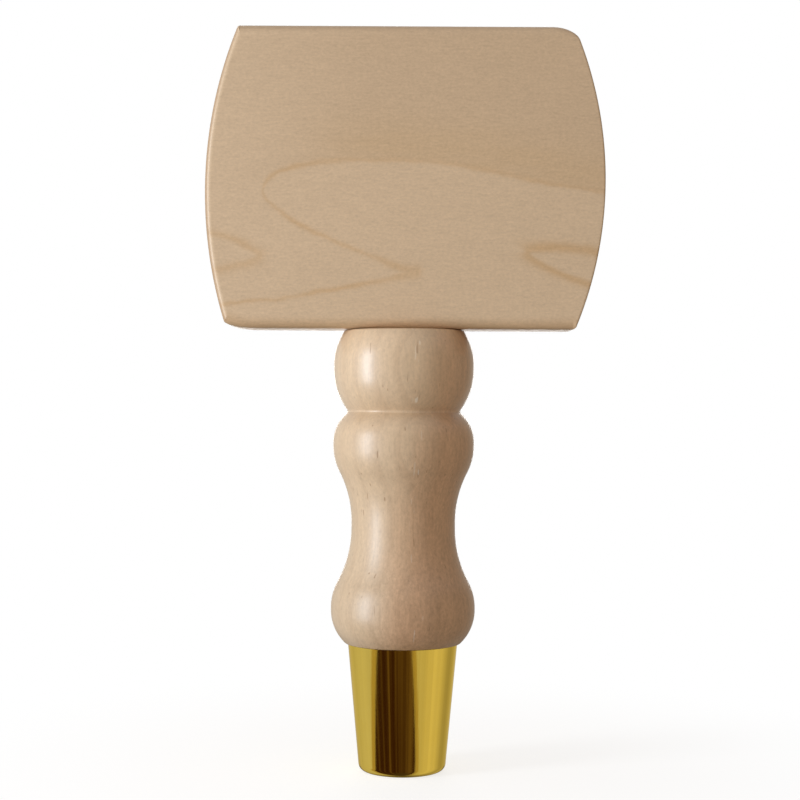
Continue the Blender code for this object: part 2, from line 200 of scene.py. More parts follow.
def thread_section(thread, spare):
    """One pitch of a thread as (share of the pitch, radius), with eased roots and crests."""
    land = thread["land"]
    root, crest = thread["root"] + spare, thread["crest"] + spare
    ease = 0.12 * (crest - root)
    return [
        (0.0, root),
        (0.03, root + ease * 0.4),
        ((1 - land) / 2 - 0.03, crest - ease * 0.6),
        ((1 - land) / 2 + 0.02, crest),
        ((1 + land) / 2 - 0.02, crest),
        ((1 + land) / 2 + 0.03, crest - ease * 0.6),
        (0.97, root + ease * 0.4),
    ]


def helix(bm, radius, heights):
    """Points up a right-hand helix, one for each of the heights in millimetres."""
    verts = []
    for i, height in enumerate(heights):
        angle = 2 * math.pi * i / THREAD_STEPS
        place = (radius * math.cos(angle) * MM, radius * math.sin(angle) * MM, height * MM)
        verts.append(bm.verts.new(place))
    return verts


def threaded_rod(thread, bottom, top, spare=0.0):
    """A rod with a right-hand thread past bottom and top, in phase with every rod of its pitch."""
    pitch = thread["pitch"]
    first = (math.floor(bottom / pitch) - 1) * pitch
    steps = THREAD_STEPS * (math.ceil((top - first) / pitch) + 1)
    bm = bmesh.new()
    lines = []
    for offset, radius in thread_section(thread, spare):
        # The first line runs one turn longer, because its next turn closes the section.
        count = steps if lines else steps + THREAD_STEPS
        heights = [first + pitch * (offset + i / THREAD_STEPS) for i in range(count + 1)]
        lines.append(helix(bm, radius, heights))
    lines.append(lines[0][THREAD_STEPS:])
    for below, above in zip(lines, lines[1:]):
        for i in range(steps):
            bm.faces.new((below[i], below[i + 1], above[i + 1], above[i]))
    for start in (0, steps):
        turn = lines[0][start : start + THREAD_STEPS + 1]
        loop = turn + [line[start] for line in lines[-2:0:-1]]
        tip = bm.verts.new((0, 0, turn[THREAD_STEPS // 2].co.z))
        for i, vert in enumerate(loop):
            bm.faces.new((tip, vert, loop[(i + 1) % len(loop)]))
    return finish_mesh("thread", bm)


# Label panel.

def side_point(side, height):
    """The point at a height on one bowed side, drawn as a right-hand side."""
    run = math.sqrt(side["radius"] ** 2 - (height - side["widest"]) ** 2)
    return PANEL_HIGH.x - side["radius"] + run, height


def panel_corner(side, edge_height, inward, size):
    """A quarter of an ellipse from the edge to the side, sheared to meet both."""
    square = side_point(side, edge_height)
    upright = side_point(side, edge_height + inward * size[1] * MM)
    level = (square[0] - size[0] * MM, edge_height)
    points = []
    for i in range(CORNER_STEPS + 1):
        turn = math.pi / 2 * i / CORNER_STEPS
        to_level, to_upright = 1 - math.sin(turn), 1 - math.cos(turn)
        ends = zip(square, level, upright)
        points.append(tuple(s + (e - s) * to_level + (u - s) * to_upright for s, e, u in ends))
    return points


def side_outline(side):
    """One side of the panel as (x, z), top edge to bottom edge, drawn as a right-hand side."""
    top = PANEL_HIGH.z - side["top"][1] * MM
    bottom = PANEL_LOW.z + side["bottom"][1] * MM
    heights = [top + (bottom - top) * i / SIDE_STEPS for i in range(1, SIDE_STEPS)]
    points = panel_corner(side, PANEL_HIGH.z, -1, side["top"])
    points += [side_point(side, height) for height in heights]
    return points + panel_corner(side, PANEL_LOW.z, 1, side["bottom"])[::-1]


def panel_outline():
    """The panel's outline as Vectors (x, z), clockwise from its top edge's right-hand end."""
    right = side_outline(RIGHT_SIDE)
    left = side_outline(LEFT_SIDE)
    return [Vector(point) for point in right + [(-x, z) for x, z in reversed(left)]]


def nearest_point(outline, point):
    """The point of a closed outline that is nearest to another point."""
    found = []
    for start, end in zip(outline, outline[1:] + outline[:1]):
        run = end - start
        share = (point - start).dot(run) / max(run.length_squared, 1e-18)
        found.append(start + run * min(max(share, 0), 1))
    return min(found, key=lambda candidate: (candidate - point).length_squared)


def round_overs(outline):
    """Round-over radius of each of the outline's segments, from the way the segment faces."""
    radii = []
    for start, end in zip(outline, outline[1:] + outline[:1]):
        along = (end - start).normalized()
        side = RIGHT_ROUND_OVER if along.y < 0 else LEFT_ROUND_OVER
        edge = TOP_ROUND_OVER if along.x > 0 else BOTTOM_ROUND_OVER
        radii.append(side + (edge - side) * along.x**4)
    return radii


def shrink_outline(outline, depths):
    """Moves each segment of a convex clockwise outline inwards by its depth, and each point along with it."""
    shrunk = list(outline)
    for start, end, depth in zip(outline, outline[1:] + outline[:1], depths):
        along = (end - start).normalized()
        inward = Vector((along.y, -along.x))
        inside = [(point - start).dot(inward) - depth for point in shrunk]
        kept = []
        for i, point in enumerate(shrunk):
            after = (i + 1) % len(shrunk)
            if inside[i] >= 0:
                kept.append(point)
            if (inside[i] >= 0) != (inside[after] >= 0):
                kept.append(point.lerp(shrunk[after], inside[i] / (inside[i] - inside[after])))
        shrunk = kept
    return [nearest_point(shrunk, point) for point in outline]


def panel_levels(outline):
    """Loops of (x, y, z) round the panel, from its front face over both round-overs to its back."""
    radii = round_overs(outline)
    point_radii = [(before + after) / 2 for before, after in zip(radii[-1:] + radii, radii)]
    flat = shrink_outline(outline, [radius + PANEL_FLAT_MARGIN for radius in radii])
    rings = [[(point.x, PANEL_HIGH.y, point.y) for point in flat]]
    for i in range(ROUND_OVER_STEPS + 1):
        turn = math.pi / 2 * i / ROUND_OVER_STEPS
        ring = shrink_outline(outline, [radius * (1 - math.sin(turn)) for radius in radii])
        back = [PANEL_HIGH.y - radius * (1 - math.cos(turn)) for radius in point_radii]
        rings.append([(point.x, y, point.y) for point, y in zip(ring, back)])
    return [[(x, -y, z) for x, y, z in ring] for ring in rings] + rings[::-1]


def make_panel():
    """The plank: bowed sides, soft round-overs and a dowel hole."""
    bm = bmesh.new()
    loops = [[bm.verts.new(place) for place in ring] for ring in panel_levels(panel_outline())]
    for near, far in zip(loops, loops[1:]):
        for i in range(len(near)):
            after = (i + 1) % len(near)
            bm.faces.new((near[i], near[after], far[after], far[i]))
    bm.faces.new(loops[0])
    bm.faces.new(loops[-1])
    bmesh.ops.remove_doubles(bm, verts=bm.verts, dist=PANEL_MERGE)
    panel = finish_mesh("maple_plank", bm)
    hole_top = DOWEL_HIGH.z / MM + DOWEL_END_GAP
    return carve(panel, drill(DOWEL_HIGH.x / MM + DOWEL_SIDE_GAP, PANEL_LOW.z / MM - CUT_PAST, hole_top))


# Turned handle.

def crown(equator, edge, steps):
    """One half of a bead, from its equator to its edge."""
    shares = [i / steps for i in range(steps + 1)]
    return [
        (
            equator[0] + (edge[0] - equator[0]) * share**BEAD_POWER,
            equator[1] + (edge[1] - equator[1]) * share,
        )
        for share in shares
    ]


def ogee(bulge, waist, inflection, steps):
    """Two arcs from a bulge's equator to a waist, upright at both ends and tangent at the inflection."""
    turn = 2 * math.atan2(bulge[0] - waist[0], abs(bulge[1] - waist[1]))
    direction = math.copysign(1, waist[1] - bulge[1])
    bulge_radius = abs(inflection - bulge[1]) / math.sin(turn)
    waist_radius = abs(inflection - waist[1]) / math.sin(turn)
    outer = arc((bulge[0] - bulge_radius, bulge[1]), bulge_radius, 0, direction * turn, steps)
    inner = arc(
        (waist[0] + waist_radius, waist[1]), waist_radius, math.pi + direction * turn, math.pi, steps
    )
    return outer + inner[1:]


def handle_profile():
    """The handle's profile from the axis at its top to the axis at its bottom, in millimetres."""
    top, bottom = HANDLE_HIGH.z / MM, HANDLE_LOW.z / MM
    bulb_bottom = BULB[1] - BULB_LAND
    shoulder = math.asin((top - TOP_EDGE[1] - UPPER_BEAD[1]) / UPPER_BEAD_ARC)
    bulb_turn = math.asin((bottom + EDGE_SOFTNESS - bulb_bottom) / BULB_ARC)
    upper = arc((UPPER_BEAD[0] - UPPER_BEAD_ARC, UPPER_BEAD[1]), UPPER_BEAD_ARC, shoulder, 0, 16)
    bead_end = crown(UPPER_BEAD, GROOVE, 26)
    bead_start = crown(LOWER_BEAD, GROOVE, 22)[::-1]
    bulb_end = arc((BULB[0] - BULB_ARC, bulb_bottom), BULB_ARC, 0, bulb_turn, 20)
    foot = bulb_end[-1]
    points = [(0, top)]
    points += softened((HANDLE_TOP_RADIUS, top), (upper[0][0] - TOP_EDGE[0], top), upper[0])
    points += upper[1:]
    points += bead_end[1:-1]
    points += softened(bead_end[-2], GROOVE, bead_start[1])[1:-1]
    points += bead_start[1:]
    points += ogee(LOWER_BEAD, WAIST_TOP, BEAD_INFLECTION, 16)[1:]
    points += ogee(BULB, WAIST_BOTTOM, BULB_INFLECTION, 18)[::-1]
    points += bulb_end
    edge, land = (foot[0] - inset for inset in BOTTOM_EDGE)
    points += softened(foot, (edge, bottom), (land, bottom))[1:]
    points += [(0, bottom)]
    return points


def make_handle():
    """The turned handle with its dowel hole, bolt hole and the thread that the bolt cut."""
    handle = turned("maple_handle", handle_profile())
    dowel_hole = (DOWEL_HIGH.x / MM + DOWEL_SIDE_GAP, DOWEL_LOW.z / MM - DOWEL_END_GAP)
    carve(handle, drill(*dowel_hole, HANDLE_HIGH.z / MM + CUT_PAST))
    crest = MACHINE_THREAD["crest"] + FIT_GAP
    carve(handle, drill(crest, HANDLE_LOW.z / MM - CUT_PAST, WOOD_BOTTOM + CORE_INSET))
    tap_top = BOLT_HIGH.z / MM + 1 - WOOD_THREAD["pitch"]
    return carve(handle, threaded_rod(WOOD_THREAD, WOOD_BOTTOM, tap_top, FIT_GAP))


# Metal parts and the washer.

def make_ferrule():
    """Tapered shell round a boss, with a polished outer wall and soft edges."""
    height = FERRULE_HIGH.z / MM
    taper = (FERRULE_HIGH.x / MM - FERRULE_BASE_RADIUS) / height
    lean = math.atan(taper)
    seat = WASHER_LOW.z / MM - SEAT_GAP
    bore = INSERT_HIGH.x / MM + FIT_GAP
    boss = bore + BOSS_WALL
    recess = WASHER_HIGH.x / MM + FIT_GAP
    base_centre = (FERRULE_BASE_RADIUS - FERRULE_BASE_ROUND * (1 - taper), FERRULE_BASE_ROUND)
    section = [(FERRULE_HIGH.x / MM, height)]
    section += arc(base_centre, FERRULE_BASE_ROUND, -lean, -math.pi / 2, 14)
    section += [
        (bore + BORE_CHAMFER, 0),
        (bore, BORE_CHAMFER),
        (bore, seat),
        (boss, seat),
        (boss, CAVITY_FLOOR + CAVITY_FILLET[1]),
        (boss + CAVITY_FILLET[0], CAVITY_FLOOR),
        (FERRULE_BASE_RADIUS + taper * CAVITY_FLOOR - FERRULE_WALL, CAVITY_FLOOR),
        (FERRULE_BASE_RADIUS + taper * seat - FERRULE_WALL, seat),
        (recess, seat),
        (recess, height),
    ]
    return turned("gold_ferrule", section, closed=True)


def make_insert():
    """Brass bush with two grooves round it and the machine thread cut through it."""
    bottom, top, radius = INSERT_LOW.z / MM, INSERT_HIGH.z / MM, INSERT_HIGH.x / MM
    chamfer, groove, grooves = 0.5, 0.4, 2
    section = [(0, top), (radius - chamfer, top), (radius, top - chamfer)]
    spacing = (top - bottom) / (grooves + 1)
    for i in range(grooves):
        middle = top - spacing * (i + 1)
        section += [
            (radius, middle + 2 * groove),
            (radius - groove, middle + groove),
            (radius - groove, middle - groove),
            (radius, middle - 2 * groove),
        ]
    section += [(radius, bottom + chamfer), (radius - chamfer, bottom), (0, bottom)]
    bush = turned("brass_bush", section, steps=METAL_STEPS)
    return carve(bush, threaded_rod(MACHINE_THREAD, bottom, top, FIT_GAP))


def make_washer():
    """Fibre washer with slightly rounded edges."""
    low, high = WASHER_LOW.z / MM, WASHER_HIGH.z / MM
    outer, inner, ease = WASHER_HIGH.x / MM, 5.2, 0.2
    section = arc((outer - ease, high - ease), ease, math.pi / 2, 0, 4)
    section += arc((outer - ease, low + ease), ease, 0, -math.pi / 2, 4)
    section += arc((inner + ease, low + ease), ease, -math.pi / 2, -math.pi, 4)
    section += arc((inner + ease, high - ease), ease, math.pi, math.pi / 2, 4)
    return turned("fibre_washer", section, closed=True, steps=WASHER_STEPS)


def bolt_core(bottom, top):
    """The bolt's shank and the core inside both of its threads."""
    machine_core = MACHINE_THREAD["root"] - CORE_INSET
    wood_core = WOOD_THREAD["root"] - CORE_INSET
    profile = [
        (0, top - TIP_LENGTH),
        (wood_core, top - TIP_LENGTH - CORE_INSET),
        (wood_core, WOOD_BOTTOM + CORE_INSET),
        (SHANK_RADIUS, WOOD_BOTTOM - CORE_INSET),
        (SHANK_RADIUS, MACHINE_TOP - CORE_INSET),
        (machine_core, MACHINE_TOP - 2 * CORE_INSET),
        (machine_core, bottom + CORE_INSET),
        (0, bottom + CORE_INSET),
    ]
    return turned("zinc_hanger_bolt", profile, steps=METAL_STEPS)


def bolt_ends(bottom, top):
    """The bolt's two threaded ends, trimmed to a chamfer and to a point."""
    outside = MACHINE_THREAD["crest"] + CORE_INSET
    machine_profile = [
        (0, MACHINE_TOP),
        (outside, MACHINE_TOP),
        (outside, bottom + BOLT_CHAMFER),
        (MACHINE_THREAD["crest"] - BOLT_CHAMFER, bottom),
        (0, bottom),
    ]
    wood_profile = [
        (0, top),
        (TIP_RADIUS, top),
        (outside, top - TIP_LENGTH),
        (outside, WOOD_BOTTOM - CORE_INSET / 2),
        (0, WOOD_BOTTOM - CORE_INSET / 2),
    ]
    machine_end = turned("machine_end", machine_profile, steps=METAL_STEPS)
    wood_end = turned("wood_end", wood_profile, steps=METAL_STEPS)
    carve(machine_end, threaded_rod(MACHINE_THREAD, bottom, MACHINE_TOP), "INTERSECT")
    carve(wood_end, threaded_rod(WOOD_THREAD, WOOD_BOTTOM, top), "INTERSECT")
    return machine_end, wood_end


def make_bolt():
    """Hanger bolt: both threads trimmed to length and joined to the core."""
    bottom, top = BOLT_LOW.z / MM, BOLT_HIGH.z / MM
    bolt = bolt_core(bottom, top)
    for threaded_end in bolt_ends(bottom, top):
        carve(bolt, threaded_end, "UNION", "MANIFOLD")
    return bolt


# Materials.

class Value:
    """A number in a material's node graph. Arithmetic on it adds Math nodes."""

    def __init__(self, graph, socket):
        self.graph = graph
        self.socket = socket

    def __add__(self, other):
        return self.graph.math("ADD", self, other)

    def __sub__(self, other):
        return self.graph.math("SUBTRACT", self, other)

    def __rsub__(self, other):
        return self.graph.math("SUBTRACT", other, self)

    def __mul__(self, other):
        return self.graph.math("MULTIPLY", self, other)

    def __truediv__(self, other):
        return self.graph.math("DIVIDE", self, other)

    def __pow__(self, other):
        return self.graph.math("POWER", self, other)

    def __abs__(self):
        return self.graph.math("ABSOLUTE", self)

    __radd__ = __add__
    __rmul__ = __mul__

    def clamped(self, low=0.0, high=1.0):
        return self.graph.math("MINIMUM", self.graph.math("MAXIMUM", self, low), high)

    def bell(self, width):
        """1 where the value is 0, falling off smoothly within width."""
        return self.graph.math("EXPONENT", (self / width) * (self / width) * -1.0)

    def step(self, low, high):
        """Smooth step from 0 at low to 1 at high."""
        node = self.graph.node("MapRange", interpolation_type="SMOOTHSTEP")
        for name, value in (("Value", self), ("From Min", low), ("From Max", high)):
            self.graph.feed(node.inputs[name], value)
        return Value(self.graph, node.outputs["Result"])


class Graph:
    """The node graph of one material or of the world."""

    def __init__(self, owner):
        owner.use_nodes = True
        self.tree = owner.node_tree

    def node(self, kind, **settings):
        node = self.tree.nodes.new("ShaderNode" + kind)
        for key, value in settings.items():
            setattr(node, key, value)
        return node

    def feed(self, socket, value):
        """Links a value to a socket, or sets the socket's own value."""
        if isinstance(value, Value):
            self.tree.links.new(value.socket, socket)
        elif isinstance(value, bpy.types.NodeSocket):
            self.tree.links.new(value, socket)
        else:
            socket.default_value = value

    def math(self, operation, *values):
        node = self.node("Math", operation=operation)
        for socket, value in zip(node.inputs, values):
            self.feed(socket, value)
        return Value(self, node.outputs[0])

    def position(self):
        """The point's place in the frame, in millimetres."""
        split = self.node("SeparateXYZ")
        self.feed(split.inputs[0], self.node("TexCoord").outputs["Object"])
        return [Value(self, output) * 1000.0 for output in split.outputs]

    def combine(self, x, y, z):
        node = self.node("CombineXYZ")
        for socket, value in zip(node.inputs, (x, y, z)):
            self.feed(socket, value)
        return node.outputs[0]

    def noise(self, x, y, z, detail=2.0, roughness=0.5):
        """Noise between -1 and 1 with features about 1 unit across."""
        node = self.node("TexNoise")
        self.feed(node.inputs["Vector"], self.combine(x, y, z))
        node.inputs["Scale"].default_value = 1.0
        node.inputs["Detail"].default_value = detail
        node.inputs["Roughness"].default_value = roughness
        return Value(self, node.outputs["Fac"]) * 2.0 - 1.0

    def mix(self, share, first, second):
        """Colour between first and second; each is a socket or an (r, g, b)."""
        node = self.node("Mix", data_type="RGBA")
        self.feed(node.inputs[0], share)
        for socket, colour in ((node.inputs[6], first), (node.inputs[7], second)):
            self.feed(socket, colour if isinstance(colour, bpy.types.NodeSocket) else (*colour, 1.0))
        return node.outputs[2]

    def shade(self, colour, factor):
        """A colour multiplied by a number."""
        node = self.node("Mix", data_type="RGBA", blend_type="MULTIPLY")
        node.inputs[0].default_value = 1.0
        self.feed(node.inputs[6], colour)
        self.feed(node.inputs[7], self.combine(factor, factor, factor))
        return node.outputs[2]

    def bump(self, height, distance):
        """A normal from a height; distance is in millimetres."""
        node = self.node("Bump")
        node.inputs["Strength"].default_value = 1.0
        node.inputs["Distance"].default_value = distance * MM
        self.feed(node.inputs["Height"], height)
        return node.outputs["Normal"]


def new_material(name):
    material = bpy.data.materials.new(name)
    return material, Graph(material)


def azimuth(graph, x, y):
    """Degrees round Z: 0 on the camera's side, and positive to the right."""
    return graph.math("ARCTAN2", x, y * -1.0) * (180 / math.pi)


def finish_material(graph, colour, roughness, normal, others):
    """Connects colour, roughness and bump to the shader, and feeds its other sockets by name."""
    shader = graph.tree.nodes["Principled BSDF"]
    graph.feed(shader.inputs["Base Color"], colour)
    graph.feed(shader.inputs["Roughness"], roughness)
    graph.feed(shader.inputs["Normal"], normal)
    for name, value in others.items():
        graph.feed(shader.inputs[name], value)


def end_grain(graph, axis):
    """1 where the surface faces along the grain, which runs along axis 0 (X) or 2 (Z)."""
    split = graph.node("SeparateXYZ")
    graph.feed(split.inputs[0], graph.node("TexCoord").outputs["Normal"])
    return abs(Value(graph, split.outputs[axis])).step(0.35, 0.85)


def wavering_grain(graph, x, y, z):
    """The plank's X and Z, shifted a little so that its growth lines waver."""
    sway = graph.noise(x / 18.0, y / 9.0, z / 7.0, 3.0)
    wavy_x = x + graph.noise(x / 14.0, y / 14.0, z / 6.0) * 1.8
    wavy_z = z + sway * 1.1 + graph.noise(x / 2.6, y / 3.0, z / 1.5) * 0.45
    return wavy_x, wavy_z


def folded_growth(x, z, depth):
    """The growth line that folds across the face in a long S.

    It is the zero of a cubic, whose two folds are the two noses of the S. Returns the place
    across the S, the growth value, and the distance from the line in millimetres.
    """
    nose, half_height = 3.4, 9.4
    centre = 138.3 - (x + 16.3) * 0.059 - (x - 5.0).clamped(0.0, 60.0) * 0.135
    across = (z - centre) / half_height
    left_of_nose = (nose - x) / 39.4
    right_of_nose = (x - nose) / 16.6
    fold = left_of_nose.clamped(0.0, 2.0) ** 2.0 * 4.0 - 2.0
    fold = fold - right_of_nose.clamped() + depth * 0.11
    growth = (across * across * across - across * 3.0 + fold) * -1.0
    away = growth / (abs(across * across * 3.0 - 3.0) / half_height + 0.10)
    return across, growth, away


def bent_line(along, across, bend):
    """Distance in millimetres from a line that is bent into a parabola."""
    return (along - across * across * bend) / (abs(across) * (2 * bend) + 1.0)


def inner_lines(x, z):
    """A small ring at the left edge and a small V at the right edge, inside the folds."""
    ring_x = -36.5 - x
    ring_z = z - 131.5 - ring_x * 0.10
    vee_x = x - 30.9
    vee_z = z - 132.9 + vee_x * 0.23
    return bent_line(ring_x, ring_z, 0.54).bell(0.9) * 0.65 + bent_line(vee_x, vee_z, 0.95).bell(1.0)


def plank_colour(graph, x, y, z):
    """The plank's colour by growth and end grain, with painted shade and painted fill light at its edges, and
    its faint growth bands and its S line.
    """
    wavy_x, wavy_z = wavering_grain(graph, x, y, z)
    depth = y - PANEL_LOW.y / MM
    across, growth, away = folded_growth(wavy_x, wavy_z, depth)
    strength = graph.noise(x / 11.0, y / 8.0, z / 8.0 + 4.0, 2.0) * 0.5 + 0.6
    line = away.bell(0.55) * strength.clamped(0.15, 1.0)
    near_front = (6.0 - depth).step(0.0, 3.0)
    inner = inner_lines(wavy_x, wavy_z) * near_front * (strength + 0.4).clamped()
    above = (growth * -1.0).step(-0.3, 1.0) * across.step(0.2, 1.4) * wavy_x.step(-52.0, 0.0)
    smudge = graph.noise(x / 16.0, y / 9.0, z / 4.0 + 9.0, 3.0) * 0.5 + 0.8
    browner = ((away + 2.6) / 4.2).bell(1.0) * above * wavy_x.step(-38.0, -12.0) * smudge
    colour = graph.mix(above, (0.700, 0.522, 0.348), (0.650, 0.475, 0.310))
    colour = graph.mix(browner * 0.6, colour, (0.640, 0.445, 0.255))
    colour = graph.mix((line * 0.62 + inner * 0.62).clamped(), colour, (0.590, 0.366, 0.168))
    # Painted shade darkens the round-over along the bottom, where it faces down away from the light, and a
    # little more at its left corner.
    painted_shade_top = PANEL_LOW.z / MM + 3.8
    painted_underside_shade = (painted_shade_top - z - (x + 40.0).clamped(-9.0, 0.0) * 0.25).step(0.0, 3.8)
    colour = graph.mix(painted_underside_shade * 0.60, colour, (0.560, 0.360, 0.190))
    # End grain is darker, more on the left side than on the right: the lighter right side is painted fill
    # light on that edge.
    ends = end_grain(graph, 0) * (0.75 - x.step(-10.0, 10.0) * 0.55)
    colour = graph.mix(ends, colour, (0.400, 0.255, 0.150))
    bands = graph.noise(growth * 0.9, wavy_x / 90.0, depth / 30.0, 3.0)
    return colour, bands, line


def plank_maple():
    """Flat-sawn maple with its grain along X: one growth line folds across the face in a long S."""
    material, graph = new_material("plank_maple")
    x, y, z = graph.position()
    colour, bands, line = plank_colour(graph, x, y, z)
    fibres = graph.noise(x / 3.0, y / 0.55, z / 0.55, 4.0, 0.7)
    mottle = graph.noise(x / 0.9, y / 0.6, z / 0.6, 3.0, 0.7)
    flecks = graph.noise(x / 1.6, y / 0.22, z / 0.22, 1.0).step(0.42, 0.62)
    clouds = graph.noise(x / 30.0, y / 30.0, z / 18.0, 2.0)
    tone = 1.03 + bands * 0.03 + fibres * 0.13 + mottle * 0.19 + clouds * 0.03 - flecks * 0.05
    roughness = 0.46 + fibres * 0.06 + clouds * 0.04
    relief = fibres * 0.5 + line * -0.3 - flecks * 0.6 + clouds * 0.5
    finish_material(
        graph,
        graph.shade(colour, tone),
        roughness,
        graph.bump(relief, 0.018),
        {"Coat Weight": 0.25, "Coat Roughness": 0.25, "Coat IOR": 1.5, "IOR": 1.4},
    )
    return material


def late_wood(graph, x, y, z):
    """Darker wood towards the outside of each growth ring, round a pith outside the handle."""
    drift_x = x + 52.0 + graph.noise(x / 14.0, y / 14.0, z / 60.0) * 2.2
    drift_y = y - 47.0 + graph.noise(x / 12.0, y / 12.0, z / 45.0 + 7.0) * 1.6
    radius = graph.math("SQRT", drift_x * drift_x + drift_y * drift_y)
    wavering = radius + graph.noise(radius / 6.0, 0.0, z / 50.0) * 1.2
    phase = graph.math("FRACT", wavering / 5.2)
    strength = graph.noise(wavering / 9.0, 2.0, 0.0) * 0.5 + 0.5
    return (phase.step(0.45, 0.95) - phase.step(0.95, 1.0)) * strength


def painted_glints_and_nicks(graph, x, y, z):
    """Painted glints and dark nicks in a line up the front: the pale ticks are painted highlights of a thin
    light, the dark ones are nicks in the lacquer.
    """
    turn = azimuth(graph, x, y)
    glint_and_nick_band = (turn - 11.5).bell(3.2)
    pale = graph.noise(turn / 2.6, 4.0, z / 3.6, 0.0).step(0.36, 0.46) * glint_and_nick_band
    dark = graph.noise(turn / 2.4, 9.0, z / 4.4, 0.0).step(0.40, 0.50) * glint_and_nick_band
    return pale, dark


def turned_maple():
    """Straight-grained maple with its grain up the handle, under a glossier lacquer."""
    material, graph = new_material("turned_maple")
    x, y, z = graph.position()
    streaks = graph.noise(x / 0.8, y / 0.8, z / 12.0, 4.0, 0.7)
    mottle = graph.noise(x / 0.7, y / 0.7, z / 1.1, 3.0, 0.7)
    broad = graph.noise(x / 5.0, y / 5.0, z / 60.0 + 3.0, 2.0)
    pores = graph.noise(x / 0.40, y / 0.40, z / 3.2, 1.0).step(0.46, 0.62)
    dashes = graph.noise(x / 0.62 + 3.0, y / 0.62, z / 5.0, 0.0).step(0.60, 0.70)
    clouds = graph.noise(x / 11.0, y / 11.0, z / 24.0 + 11.0, 2.0)
    painted_glints, dark_nicks = painted_glints_and_nicks(graph, x, y, z)
    # A darker, redder zone on the right and lower down: partly heartwood colour, partly painted shade on the
    # side away from the key light.
    heartwood_and_painted_shade = (x + (98.0 - z) * 0.205 + broad * 3.0 + clouds * 2.0).step(0.0, 15.0)
    colour = graph.mix((clouds * 0.6 + 0.5).clamped(), (0.668, 0.484, 0.310), (0.703, 0.523, 0.347))
    colour = graph.mix(heartwood_and_painted_shade * 0.85, colour, (0.620, 0.368, 0.210))
    marks = late_wood(graph, x, y, z) * 0.22 + pores * 0.30 + dashes * 0.65 + dark_nicks * 0.55
    colour = graph.mix(marks.clamped(), colour, (0.380, 0.220, 0.115))
    # Pale ticks are painted glints: highlights of a thin light, painted into the colour.
    colour = graph.mix(painted_glints * 0.55, colour, (0.900, 0.830, 0.720))
    colour = graph.mix(end_grain(graph, 2) * 0.35, colour, (0.430, 0.285, 0.165))
    figure = heartwood_and_painted_shade * 0.6 + 1.0
    # The height term is painted shade: the wood darkens towards the bottom, standing in for light falling off
    # down the handle.
    tone = 1.02 + (streaks * 0.17 + mottle * 0.20 + broad * 0.07) * figure + (z - 74.0) * 0.0024
    relief = streaks * 0.35 + mottle * 0.5 - pores * 1.0 - dashes * 1.5 + clouds * 0.6
    # The lacquer is thicker and smoother towards the top.
    glossier = z.step(76.0, 102.0)
    finish_material(
        graph,
        graph.shade(colour, tone),
        0.46 + streaks * 0.05,
        graph.bump(relief, 0.02),
        {
            "Coat Weight": glossier * 0.32 + 0.55,
            "Coat Roughness": 0.34 - glossier * 0.06,
            "Coat IOR": 1.5,
            "IOR": 1.45,
            "Specular Tint": (0.55, 0.80, 1.0, 1.0),
        },
    )
    return material


def dowel_beech():
    """Raw beech with short dark flecks along Z."""
    material, graph = new_material("dowel_beech")
    x, y, z = graph.position()
    fibres = graph.noise(x / 0.4, y / 0.4, z / 8.0, 3.0)
    flecks = graph.noise(x / 0.3, y / 0.3, z / 1.8, 1.0).step(0.35, 0.6)
    colour = graph.mix(flecks * 0.5, (0.58, 0.40, 0.25), (0.32, 0.17, 0.09))
    colour = graph.shade(colour, 1.0 + fibres * 0.08)
    finish_material(graph, colour, 0.7 + fibres * 0.08, graph.bump(fibres, 0.05), {})
    return material


def polished_gold():
    """Gold plating: mirror-bright, with faint upright draw marks and hairline handling scratches."""
    material, graph = new_material("polished_gold")
    x, y, z = graph.position()
    angle = graph.math("ARCTAN2", y, x)
    draw = graph.noise(angle * 26.0, 0.0, z / 60.0, 3.0, 0.6)
    ripple = graph.noise(angle * 2.6, 5.0, z / 26.0, 2.0)
    haze = graph.noise(x / 3.0, y / 3.0, z / 3.0, 3.0)
    hairlines = graph.noise(x / 0.35 + z / 0.9, y / 0.35, z / 6.0, 1.0).step(0.5, 0.7)
    colour = graph.mix((haze * 0.5 + 0.5).clamped(), (0.860, 0.625, 0.115), (0.890, 0.660, 0.140))
    colour = graph.shade(colour, 1.0 + draw * 0.03)
    roughness = 0.055 + (haze * 0.5 + 0.5) * 0.03 + hairlines * 0.05
    relief = draw * 0.35 + ripple * 1.0 + haze * 0.12
    finish_material(
        graph,
        colour,
        roughness,
        graph.bump(relief, 0.012),
        {"Metallic": 1.0, "Specular Tint": (1.0, 0.9, 0.6, 1.0)},
    )
    return material


def machined_brass():
    """Turned brass with fine tool rings round Z and a little tarnish."""
    material, graph = new_material("machined_brass")
    x, y, z = graph.position()
    rings = graph.noise(x / 30.0, y / 30.0, z / 0.12, 2.0)
    tarnish = graph.noise(x / 3.0, y / 3.0, z / 3.0, 4.0)
    colour = graph.mix((tarnish * 0.7 + 0.4).clamped(), (0.80, 0.60, 0.30), (0.58, 0.40, 0.19))
    roughness = 0.24 + tarnish * 0.06 + rings * 0.04
    finish_material(graph, colour, roughness, graph.bump(rings, 0.012), {"Metallic": 1.0})
    return material


def zinc_steel():
    """Bright zinc plating with a faint spangle and dull patches."""
    material, graph = new_material("zinc_steel")
    x, y, z = graph.position()
    spangle = graph.noise(x / 0.8, y / 0.8, z / 0.8, 3.0)
    patches = graph.noise(x / 5.0, y / 5.0, z / 5.0, 2.0)
    colour = graph.mix((spangle * 0.6 + 0.5).clamped(), (0.66, 0.67, 0.69), (0.50, 0.51, 0.53))
    roughness = 0.30 + patches * 0.08 + spangle * 0.05
    finish_material(graph, colour, roughness, graph.bump(spangle, 0.008), {"Metallic": 1.0})
    return material


